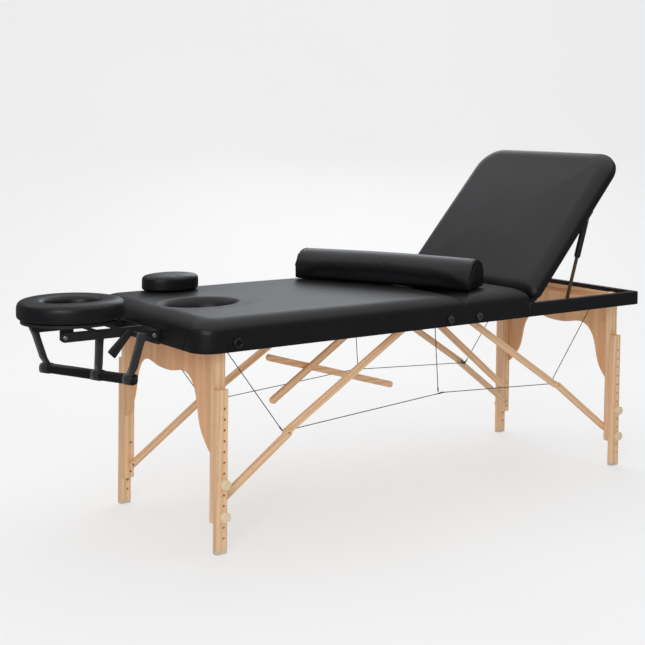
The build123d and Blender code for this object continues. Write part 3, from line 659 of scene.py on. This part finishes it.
def puff(obj, cap, voxel=0.005):
    """Remesh, inflate with Cloth, and keep every point within cap of where it started."""
    grid = obj.modifiers.new("grid", "REMESH")
    grid.mode = "VOXEL"
    grid.voxel_size = voxel
    bake_mesh(obj)
    start = [v.co.copy() for v in obj.data.vertices]
    cloth = obj.modifiers.new("cloth", "CLOTH")
    cloth.settings.use_pressure = True
    cloth.settings.uniform_pressure_force = PRESSURE
    cloth.settings.effector_weights.gravity = 0
    cloth.settings.quality = 5
    cloth.settings.tension_stiffness = 12
    cloth.settings.bending_stiffness = 1.5
    scene = bpy.context.scene
    scene.frame_start, scene.frame_end = 1, FRAMES
    for count in range(1, FRAMES + 1):
        scene.frame_set(count)
    bake_mesh(obj)
    scene.frame_set(1)
    for vertex, old in zip(obj.data.vertices, start):
        move = vertex.co - old
        if move.length > cap:
            vertex.co = old + move * (cap / move.length)
    relax = obj.modifiers.new("relax", "SMOOTH")
    relax.factor = 0.5
    relax.iterations = 4
    bake_mesh(obj)
    finer = obj.modifiers.new("finer", "SUBSURF")
    finer.levels = finer.render_levels = 1
    for face in obj.data.polygons:
        face.use_smooth = True


def bake_mesh(obj):
    """Replace the mesh by what its modifiers give."""
    bpy.context.view_layer.update()
    shown = obj.evaluated_get(bpy.context.evaluated_depsgraph_get())
    data = bpy.data.meshes.new_from_object(shown)
    obj.modifiers.clear()
    obj.data = data


OVAL_STEPS = 96
UNDER_EDGE = 0.45  # the lower edge's rounding, as a share of the upper one's


def oval_cushion(name, low, high, edge, hole=None, inset=0.006):
    """An oval pad between two corners, built a little small, with an oval hole if one is given."""
    cx, cy = (low.x + high.x) / 2, (low.y + high.y) / 2
    rx, ry = (high.x - low.x) / 2 - inset, (high.y - low.y) / 2 - inset
    z0, z1 = low.z + inset * 0.5, high.z - inset
    section = []
    for k in range(7):
        a = k / 6 * pi / 2
        section.append((edge * UNDER_EDGE * (1 - sin(a)), z0 + edge * UNDER_EDGE * (1 - cos(a))))
    for k in range(9):
        a = k / 8 * pi / 2
        section.append((edge * (1 - cos(a)), z1 - edge + edge * sin(a)))
    shares = [k / OVAL_STEPS for k in range(OVAL_STEPS)]
    rings = [[ellipse_point(cx, cy, rx - d, ry - d, t, z) for t in shares] for d, z in section]
    if not hole:
        return loft(name, rings, LOOSE_VINYL, closed=False)
    hx, hy = hole[0] + inset, hole[1] + inset
    for d, z in reversed(section):
        rings.append([ellipse_point(cx, cy, hx + d, hy + d, t, z) for t in shares])
    return loft(name, rings, LOOSE_VINYL)


def ellipse_point(cx, cy, rx, ry, share, z):
    """A point this share of the way round an ellipse."""
    a = share * 2 * pi
    return Vector((cx + rx * cos(a), cy + ry * sin(a), z))


REST_GAP = 0.0004  # between a loose cushion and what it lies on


def keep_in(obj, low, high, proud=0.002):
    """Hold a cushion inside its CAD box and just above what it rests on."""
    for vertex in obj.data.vertices:
        co = vertex.co
        co.z = max(co.z, low.z + REST_GAP)
        for axis in range(3):
            co[axis] = min(co[axis], high[axis] + proud)
            if axis < 2:
                co[axis] = max(co[axis], low[axis] - proud)


def tube(name, points, radius, material, cyclic=False):
    """A smooth round bead along points."""
    data = bpy.data.curves.new(name, "CURVE")
    data.dimensions = "3D"
    data.bevel_depth = radius
    data.bevel_resolution = 3
    line = data.splines.new("NURBS")
    line.points.add(len(points) - 1)
    for place, point in zip(line.points, points):
        place.co = (*point, 1)
    line.use_cyclic_u = cyclic
    line.use_endpoint_u = not cyclic
    line.order_u = 3
    line.resolution_u = 3
    data.materials.append(material)
    made = bpy.data.objects.new(name, data)
    bpy.context.scene.collection.objects.link(made)
    return made


def on_surface(obj, points, lift):
    """The nearest place on a mesh for each point, lifted along its normal and evened out."""
    corners = [v.co for v in obj.data.vertices]
    tree = BVHTree.FromPolygons(corners, [f.vertices[:] for f in obj.data.polygons])
    out = []
    for point in points:
        place, normal, _, _ = tree.find_nearest(point)
        out.append(place + normal * lift)
    for _ in range(3):
        held = list(out)
        for i in range(1, len(out) - 1):
            out[i] = held[i] * 0.5 + (held[i - 1] + held[i + 1]) * 0.25
    return out


FACE_LOW, FACE_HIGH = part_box("face_cushion")
FACE_HOLE, FACE_EDGE, FACE_SEAM_UP = (0.082, 0.062), 0.020, 0.0125
FACE_BEAD, PLUG_BEAD, BOLSTER_BEAD, ARM_BEAD, GUARD_BEAD = 0.0012, 0.0011, 0.0015, 0.0009, 0.0014
face_middle = (FACE_LOW + FACE_HIGH) / 2
face_half = (FACE_HIGH.x - face_middle.x, FACE_HIGH.y)
face_pad = oval_cushion(
    "face_rest_cushion", FACE_LOW, FACE_HIGH, FACE_EDGE, FACE_HOLE, inset=0.003
)
puff(face_pad, LARGE_SWELL)
keep_in(face_pad, FACE_LOW, FACE_HIGH, proud=0.006)
face_seam = [
    ellipse_point(face_middle.x, 0, *face_half, k / 72, FACE_LOW.z + FACE_SEAM_UP)
    for k in range(72)
]
face_seam = on_surface(face_pad, face_seam, 0.0002)
face_bead = tube("face_rest_seam", face_seam, FACE_BEAD, PIPING, cyclic=True)
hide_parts("face_cushion")

PLUG_LOW, PLUG_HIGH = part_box("breath_plug")
plug_middle = (PLUG_LOW + PLUG_HIGH) / 2
PLUG_EDGE, PLUG_SEAM, PLUG_SEAMS_UP = 0.014, (0.102, 0.074), (0.010, 0.041)
plug = oval_cushion("breath_plug_cushion", PLUG_LOW, PLUG_HIGH, PLUG_EDGE, inset=0.002)
puff(plug, SMALL_SWELL, voxel=0.004)
keep_in(plug, PLUG_LOW, PLUG_HIGH)
plug_seams = []
for level, height in enumerate(PLUG_SEAMS_UP):
    ring = [
        ellipse_point(plug_middle.x, plug_middle.y, *PLUG_SEAM, k / 64, PLUG_LOW.z + height)
        for k in range(64)
    ]
    ring = on_surface(plug, ring, 0.0001)
    plug_seams.append(tube(f"breath_plug_seam_{level}", ring, PLUG_BEAD, PIPING, cyclic=True))
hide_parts("breath_plug")

# -------------------------------- bolster
BOLSTER_AT = Vector((FOLD - 0.037, 0.015, PAD_TOP))
BOLSTER_SIZE = (0.680, 0.160, 0.105)
BOLSTER_TURN = radians(27)
HEEL = 0.020  # height of the rounded heels
BASE_POWER, BACK_POWER = 6.0, 2.2  # how square the base and the back are
BOLSTER_END, BOLSTER_END_ROUND = 0.010, 0.014  # length of the rounded end, and how much it shrinks
BOLSTER_STEPS, BOLSTER_AROUND, BOLSTER_END_STEPS = 40, 72, 6
bolster_along = Vector((sin(BOLSTER_TURN), -cos(BOLSTER_TURN), 0))
bolster_cross = Vector((cos(BOLSTER_TURN), sin(BOLSTER_TURN), 0))


def bolster_ring(place, shrink=0.0):
    """D section: a flat base with small rounded heels under a round back."""
    _, width, height = BOLSTER_SIZE
    w, h = width / 2 - 0.002 - shrink, height - 0.003 - shrink
    base = 0.001 + shrink * 0.6
    out = []
    for k in range(BOLSTER_AROUND):
        a = k / BOLSTER_AROUND * 2 * pi - pi / 2
        c, s, r = squared(a, BASE_POWER if sin(a) < 0 else BACK_POWER)
        u = w * c * r
        v = (h - HEEL) * s * r if s > 0 else (HEEL - base) * s * r
        centre = BOLSTER_AT + bolster_cross * u + bolster_along * place
        out.append(centre + Vector((0, 0, HEEL + v)))
    return out


def bolster_shape():
    """The bolster before it swells, with slightly rounded ends."""
    half = BOLSTER_SIZE[0] / 2 - 0.004
    angles = [k / BOLSTER_END_STEPS * pi / 2 for k in range(BOLSTER_END_STEPS)]
    ends = [(BOLSTER_END * (1 - sin(a)), BOLSTER_END_ROUND * (1 - sin(a))) for a in angles]
    rings = [bolster_ring(-half + back, shrink) for back, shrink in ends]
    for k in range(BOLSTER_STEPS + 1):
        rings.append(bolster_ring(mix(-half + BOLSTER_END, half - BOLSTER_END, k / BOLSTER_STEPS)))
    rings += [bolster_ring(half - back, shrink) for back, shrink in reversed(ends)]
    return loft("bolster_cushion", rings, LOOSE_VINYL, closed=False)


bolster = bolster_shape()
puff(bolster, LARGE_SWELL)
for vertex in bolster.data.vertices:
    vertex.co.z = max(vertex.co.z, PAD_TOP + REST_GAP)
    vertex.co.z = min(vertex.co.z, PAD_TOP + BOLSTER_SIZE[2] + 0.002)
bolster_seams = []
for side, word in ((-1, "far"), (1, "near")):
    place = side * (BOLSTER_SIZE[0] / 2 - 0.012)
    ring = [p for p in bolster_ring(place, -0.012) if p.z > PAD_TOP + 0.004]
    cut = max(range(len(ring)), key=lambda i: (ring[i] - ring[i - 1]).length)
    ring = on_surface(bolster, ring[cut:] + ring[:cut], 0.0003)
    bolster_seams.append(tube(f"bolster_seam_{word}", ring, BOLSTER_BEAD, PIPING))
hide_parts("bolster")

# -------------------------------- arm rest and its straps
BAR_LOW, BAR_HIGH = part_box("arm_rest_pad")
bar_z = (BAR_LOW.z + BAR_HIGH.z) / 2
bar_ends = (Vector((FOLD - 1.140, -0.183, bar_z)), Vector((FOLD - 1.286, 0.137, bar_z)))
bar_way = (bar_ends[1] - bar_ends[0]).normalized()
bar_side = Vector((-bar_way.y, bar_way.x, 0))
BAR_HALF = (0.017, 0.014)  # half width and half height
BAR_POWER, BAR_TAPER = 3.2, 0.030
BAR_STEPS, BAR_AROUND = 44, 40


def arm_bar():
    """A flattened bar between its ends, a little narrower and lower at both."""
    length = (bar_ends[1] - bar_ends[0]).length
    rings = []
    for k in range(BAR_STEPS + 1):
        t = k / BAR_STEPS
        end = min(t, 1 - t) * length
        taper = sqrt(max(1 - (1 - min(end / BAR_TAPER, 1)) ** 2, 0.03))
        w, h = BAR_HALF[0] * mix(0.62, 1, taper), BAR_HALF[1] * mix(0.4, 1, taper)
        centre = bar_ends[0].lerp(bar_ends[1], t)
        slack = ripple(centre, 40, 0.0004)
        ring = []
        for j in range(BAR_AROUND):
            c, s, r = squared(j / BAR_AROUND * 2 * pi, BAR_POWER)
            ring.append(centre + bar_side * (w * c * r) + Vector((0, 0, h * s * r + slack)))
        rings.append(ring)
    return loft("arm_rest_cushion", rings, LOOSE_VINYL, closed=False)


arm_pad = arm_bar()
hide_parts("arm_rest_pad")
below_bar = [bar_ends[0].lerp(bar_ends[1], k / 40) - Vector((0, 0, 0.05)) for k in range(41)]
arm_seam = tube("arm_rest_seam", on_surface(arm_pad, below_bar, 0.0002), ARM_BEAD, PIPING)

STRAP_WIDTH, STRAP_THICK = 0.029, 0.0014
STRAP_LIFT = 0.0008  # between the webbing's middle and its pin
STRAP_GAP = 0.0012  # half the gap between its two runs
STRAP_SPLIT = 0.022  # they part this far above the bar's middle
STRAP_ROUND_BAR, STRAP_POWER = (0.0182, 0.0152), 3
STRAPS = (  # where each one hangs, and the radius of its pin
    (Vector((FOLD - 1.109, -0.167, 0.646)), 0.0045),
    (Vector((FOLD - 1.192, -0.060, 0.646)), 0.0055),
    (Vector((FOLD - 1.322, 0.119, 0.648)), 0.0045),
)


def strap_loop(top, pin, index):
    """A webbing band round its pin, down, and round the bar."""
    share = (top.y - bar_ends[0].y) / (bar_ends[1].y - bar_ends[0].y)
    foot = bar_ends[0].lerp(bar_ends[1], share)
    down = (foot - top).normalized()
    across = bar_way
    out = down.cross(across).normalized()
    around = pin + STRAP_LIFT
    run = (foot - top).length - STRAP_SPLIT

    def hanging(t, way):
        return top + out * (way * mix(around, STRAP_GAP, min(t * 4, 1))) + down * run * t

    path = []
    for k in range(13):
        a = pi + k / 12 * pi
        path.append(top + out * (cos(a) * around) + down * (sin(a) * around))
    path += [hanging(k / 9, 1) for k in range(1, 9)]
    facing = 1 if out.dot(bar_side) > 0 else -1
    for k in range(25):
        c, s, r = squared(pi / 2 - k / 24 * 2 * pi, STRAP_POWER)
        sideways = bar_side * (STRAP_ROUND_BAR[0] * c * r) * facing
        path.append(foot + sideways + Vector((0, 0, STRAP_ROUND_BAR[1] * s * r)))
    path += [hanging(k / 9, -1) for k in range(8, 0, -1)]
    rings = []
    for i, point in enumerate(path):
        forward = (path[(i + 1) % len(path)] - path[i - 1]).normalized()
        outward = forward.cross(across).normalized()
        wide, thick = across * (STRAP_WIDTH / 2), outward * (STRAP_THICK / 2)
        rings.append([
            point + wide - thick, point + wide + thick, point - wide + thick, point - wide - thick
        ])
    return loft(f"sling_strap_{index}", rings, WEBBING)


straps = [strap_loop(top, pin, index) for index, (top, pin) in enumerate(STRAPS)]
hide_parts("sling_straps")

# -------------------------------- small round fittings and corner guards
LATHE_STEPS = 40


def lathe(name, centre, side, section, material, closed=False):
    """Spin a section of (radius, distance out) about an axis along y."""
    turns = [k / LATHE_STEPS * 2 * pi for k in range(LATHE_STEPS)]
    rings = [
        [centre + Vector((r * cos(a), side * out, r * sin(a))) for a in turns] for r, out in section
    ]
    return loft(name, rings, material, closed=closed)


STOP = [
    (0.0150, 0.0002), (0.0158, 0.0020), (0.0152, 0.0042), (0.0132, 0.0054), (0.0108, 0.0054),
    (0.0092, 0.0042), (0.0082, 0.0036), (0.0070, 0.0040), (0.0058, 0.0056), (0.0030, 0.0063),
    (0.0006, 0.0064),
]
FLANGE = [
    (0.0150, 0.0002), (0.0158, 0.0015), (0.0152, 0.0034), (0.0134, 0.0042), (0.0112, 0.0042),
    (0.0096, 0.0034), (0.0088, 0.0002),
]
STOP_OUT, STOP_UP = 0.064, 0.626  # from the fold, and height
SOCKET_LOW, SOCKET_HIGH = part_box("side_sockets")
SOCKET = (SOCKET_LOW + SOCKET_HIGH) / 2
stops = []
for side, word in ((-1, "near"), (1, "far")):
    for x, body in ((FOLD - STOP_OUT, "head_frame"), (FOLD + STOP_OUT, "back_frame")):
        name = f"side_stop_{word}_{body.split('_')[0]}"
        stop = lathe(name, Vector((x, side * HALF_WIDTH, STOP_UP)), side, STOP, GLOSSY)
        stops.append((stop, body))

for side, word in ((-1, "near"), (1, "far")):
    angles = [pi * k / 40 for k in range(41)]
    arc = [corner_point(GUARD_HALF * cos(a), side, GUARD_HEIGHT * sin(a)) for a in angles]
    bead = tube(f"corner_bead_{word}", on_surface(head_top, arc, 0.0002), GUARD_BEAD, PIPING)
    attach(bead, "head_frame")
    rim = Vector((SOCKET.x, side * (HALF_WIDTH + 0.003), SOCKET.z))
    collar = lathe(f"socket_collar_{word}", rim, side, FLANGE, GLOSSY, closed=True)
    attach(collar, "head_frame")

DECK_LOW, DECK_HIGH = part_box("seat_deck")


def deck_cover():
    """Vinyl over the strip of deck that shows between the seat and the backrest."""
    (x0, x1), (y0, y1) = (SEAT_HIGH.x - 0.012, DECK_HIGH.x + 0.0012), (DECK_LOW.y, DECK_HIGH.y)
    y0, y1 = y0 - 0.0008, y1 + 0.0008
    z0, z1 = DECK_LOW.z + 0.0004, DECK_HIGH.z + 0.0008
    profile = [(0.0012, z0), (0.0003, z0 + 0.0004), (0, z0 + 0.0012)]
    profile += [(0, z1 - 0.0012), (0.0004, z1 - 0.0003), (0.0013, z1)]
    rings = []
    for inset, z in profile:
        plan = rounded_rect((x0 + inset, y0 + inset), (x1 - inset, y1 - inset), (0.002, 0.002))
        rings.append([Vector((x, y, z)) for x, y in plan])
    return loft("deck_edge_cover", rings, VINYL, closed=False)


deck_edge = deck_cover()

CAM_OUTER, CAM_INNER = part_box("cam_lever")[0].y, -0.105
CAM_PIVOT, CAM_TIP = Vector((FOLD - 1.126, 0, 0.642)), Vector((FOLD - 1.172, 0, 0.592))
CAM_POWER, CAM_AROUND = 6, 32
CAM_PROFILE = (  # distance from the pivot, half width, and how much each face is drawn in
    (-0.011, 0.006, 0.002),
    (-0.008, 0.0105, 0.001),
    (0.0, 0.0118, 0),
    (0.03, 0.0125, 0),
    (0.066, 0.0150, 0),
    (0.0765, 0.0152, 0.0004),
    (0.0785, 0.0140, 0.0016),
)


def cam_handle():
    """A thick moulded lever with a square end."""
    way = (CAM_TIP - CAM_PIVOT).normalized()
    across = Vector((-way.z, 0, way.x))
    rings = []
    for t, half, pull in CAM_PROFILE:
        centre = CAM_PIVOT + way * t
        ring = []
        for k in range(CAM_AROUND):
            c, s, r = squared(k / CAM_AROUND * 2 * pi, CAM_POWER)
            y = mix(CAM_OUTER + pull, CAM_INNER - pull, (s * r + 1) / 2)
            ring.append(centre + across * (half * c * r) + Vector((0, y, 0)))
        rings.append(ring)
    return loft("cam_handle", rings, PLASTIC, closed=False)


cam = cam_handle()
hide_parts("cam_lever")
SCREW_HEAD = [
    (0.0066, 0.0001), (0.0070, 0.0008), (0.0062, 0.0022), (0.0036, 0.0030), (0.0030, 0.0022),
    (0.0008, 0.0022),
]
SCREWS = (
    ("tilt_screw_near", Vector((FOLD - 1.322, -0.104, 0.648)), -1, "cradle_arms"),
    ("bracket_screw_near", Vector((FOLD - 1.038, -0.113, 0.630)), -1, "head_frame"),
    ("bracket_screw_far", Vector((FOLD - 1.038, 0.113, 0.630)), 1, "head_frame"),
)
screws = [
    (lathe(name, place, side, SCREW_HEAD, STEEL), body) for name, place, side, body in SCREWS
]

# -------------------------------- riding
RIDES = [
    (head_top, "head_frame"),
    (seat_top, "back_frame"),
    (rear_wrap, "back_frame"),
    (rest_pad, "backrest"),
    (face_pad, "face_cushion"),
    (face_bead, "face_cushion"),
    (plug, "breath_plug"),
    (bolster, "bolster"),
    (arm_pad, "cradle_arms"),
    (arm_seam, "cradle_arms"),
]
RIDES += [(seam, "breath_plug") for seam in plug_seams]
RIDES += [(seam, "bolster") for seam in bolster_seams]
RIDES += [(strap, "cradle_arms") for strap in straps]
RIDES += stops + [(deck_edge, "back_frame"), (cam, "cam_lever")] + screws
for piece, body in RIDES:
    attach(piece, body)

# -------------------------------- floor, light and camera
PAPER, paper_tree, paper_shader = new_material("studio_paper")
paper_space = grain_space(paper_tree, (1, 1, 1))
paper_noise = node(paper_tree, "TexNoise", {"Vector": paper_space}, Scale=0.6, Detail=2.0)
paper_greys = [(0.3, (0.37, 0.37, 0.37)), (0.7, (0.385, 0.385, 0.385))]
paper_tone = ramp(paper_tree, paper_noise.outputs[0], paper_greys)
paper_tree.links.new(paper_tone, paper_shader.inputs["Base Color"])
paper_shader.inputs["Roughness"].default_value = 0.85
paper_shader.inputs["Specular IOR Level"].default_value = 0.1
paper_shader.inputs["Emission Color"].default_value = (1, 1, 1, 1)
paper_shader.inputs["Emission Strength"].default_value = 0.5

CAMERA_AT = Vector((-2.634, -3.486, 1.305))
YAW, PITCH, BANK = radians(36.374), radians(2.138), radians(0.708)
LENS, SENSOR, SHIFT, FAR_CLIP = 71.86, 36, -0.2526, 60
look = Vector((sin(YAW) * cos(PITCH), cos(YAW) * cos(PITCH), -sin(PITCH)))
right = Vector((cos(YAW), -sin(YAW), 0))
up = right.cross(look)
flat_look = Vector((sin(YAW), cos(YAW), 0))
FLOOR_START, FLOOR_MIDDLE, FLOOR_END = -9.0, 5.0, 6.2  # metres ahead of the camera
SWEEP, SWEEP_STEPS = 4.0, 14  # radius of the paper's upward curve
ACROSS = (-14, -7, 0, 7, 14)
profile = [(FLOOR_START, 0.0), (FLOOR_MIDDLE, 0.0), (FLOOR_END, 0.0)]
for k in range(1, SWEEP_STEPS + 1):
    a = k / SWEEP_STEPS * pi / 2
    profile.append((FLOOR_END + SWEEP * sin(a), SWEEP * (1 - cos(a))))
profile += [(10.2, 8.0), (10.2, 14.0)]
sweep = []
for ahead, z in profile:
    middle = Vector((CAMERA_AT.x, CAMERA_AT.y, 0)) + flat_look * ahead
    sweep.append([middle + right * w + Vector((0, 0, z)) for w in ACROSS])
many = len(ACROSS)
sweep_faces = []
for i in range(len(sweep) - 1):
    for k in range(many - 1):
        a = i * many + k
        sweep_faces.append((a, a + 1, a + many + 1, a + many))
paper = mesh_object("studio_floor", [p for row in sweep for p in row], sweep_faces, PAPER)
paper.visible_glossy = False

world = bpy.data.worlds.new("studio")
bpy.context.scene.world = world
world.use_nodes = True
sky = world.node_tree.nodes["Background"]
sky.inputs["Color"].default_value = (0.95, 0.97, 1.0, 1)
sky.inputs["Strength"].default_value = 0.2


LIGHTS = (  # name, place, aim, size, watts and colour
    ("overhead", (0.6, 1.2, 5.5), (0.6, 1.2, 0), (11, 11), 410, (1, 1, 1)),
    ("key", (-4.2, -4.4, 3.0), (0, 0, 0.5), (3.0, 2.6), 150, (1, 1, 1)),
    ("rim", (2.4, 3.0, 2.4), (0.3, 0, 0.7), (2.4, 1.4), 25, (0.9, 0.94, 1)),
)


def area_light(name, place, aim, size, power, colour):
    """A rectangular lamp at a place, turned towards its aim."""
    data = bpy.data.lights.new(name, "AREA")
    data.shape = "RECTANGLE"
    data.size, data.size_y = size
    data.energy = power
    data.color = colour
    made = bpy.data.objects.new(name, data)
    made.location = place
    made.rotation_euler = (Vector(aim) - Vector(place)).to_track_quat("-Z", "Y").to_euler()
    bpy.context.scene.collection.objects.link(made)


for light in LIGHTS:
    area_light(*light)

camera_data = bpy.data.cameras.new("camera")
camera = bpy.data.objects.new("camera", camera_data)
bpy.context.scene.collection.objects.link(camera)
side_axis = right * cos(BANK) + up * sin(BANK)
up_axis = up * cos(BANK) - right * sin(BANK)
facing = Matrix((side_axis, up_axis, -look)).transposed().to_4x4()
camera.matrix_world = Matrix.Translation(CAMERA_AT) @ facing
camera_data.sensor_width = SENSOR
camera_data.lens = LENS
camera_data.shift_y = SHIFT
camera_data.clip_end = FAR_CLIP
bpy.context.scene.camera = camera
bpy.context.scene.view_settings.view_transform = "Standard"
